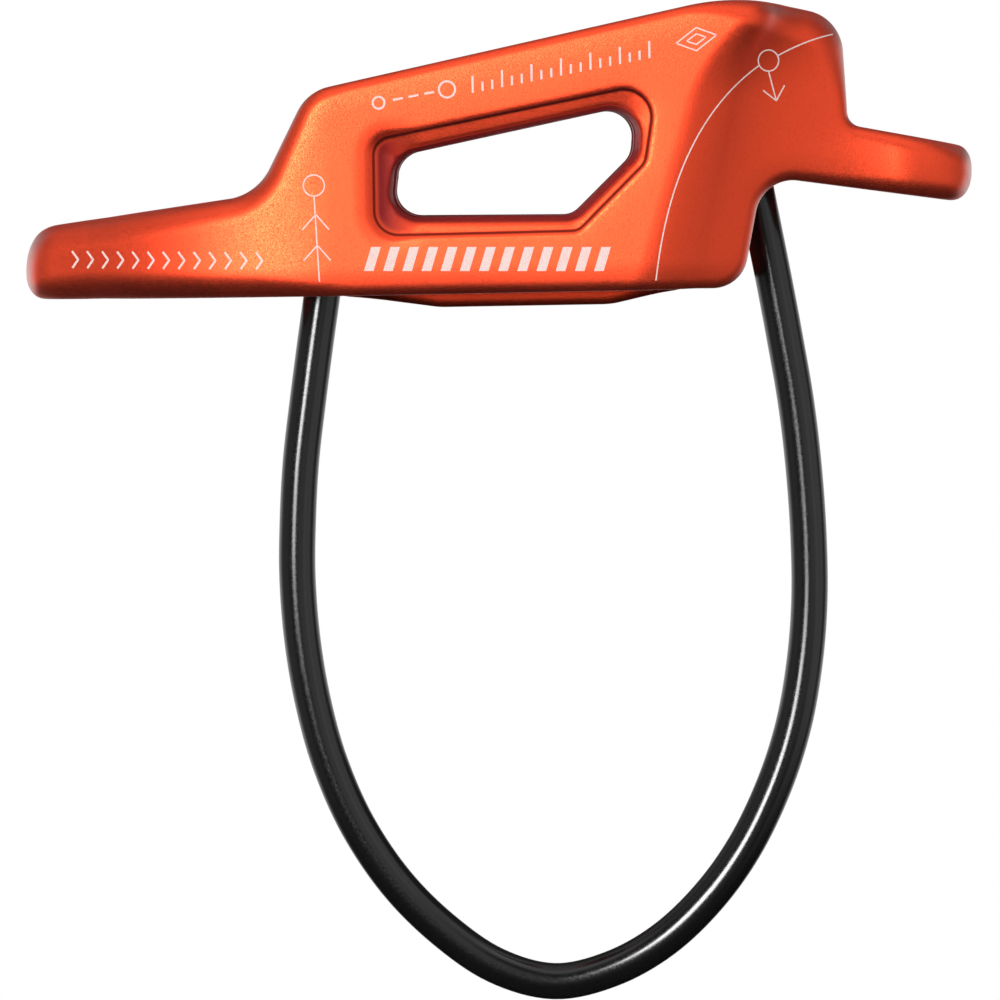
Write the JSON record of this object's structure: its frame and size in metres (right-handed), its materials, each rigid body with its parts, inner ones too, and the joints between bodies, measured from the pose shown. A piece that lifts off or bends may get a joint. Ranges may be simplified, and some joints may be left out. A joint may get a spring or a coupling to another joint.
{
  "type": "belay device",
  "caption": "Guide-mode tube belay device: forged alloy body with rope slots, a large guide eye, a small release eye and a sheathed wire keeper loop.",
  "frame": {"origin": "middle of the flat underside of the centre web, where the locking carabiner bears", "axes": "+X along the device from the guide eye towards the release eye, +Y across it, +Z from the keeper loop up to the rope slots' rim"},
  "size_m": [0.0999, 0.038, 0.1058],
  "materials": {
    "anodised_alloy": "satin anodised orange over fine bead blast",
    "ferrule_steel": "plain swaged steel",
    "cable_sheath": "glossy black extruded sheath",
    "wire_rope": "bare stranded wire"
  },
  "bodies": {
    "device": {"forged_body": "anodised_alloy", "left_ferrule": "ferrule_steel", "right_ferrule": "ferrule_steel"},
    "keeper_loop": {"cable_sheath": "cable_sheath", "cable_core": "wire_rope"}
  },
  "joints": [
    {"name": "keeper_flex", "type": "hinge", "parent": "device", "child": "keeper_loop", "pos_m": [-0.0208, 0, 0.00165], "axis": [0.9715, 0, 0.2371], "range_deg": [-30, 30], "stiffness_Nm_per_rad": 0.15, "deforming": ["cable_sheath", "cable_core"]}
  ]
}
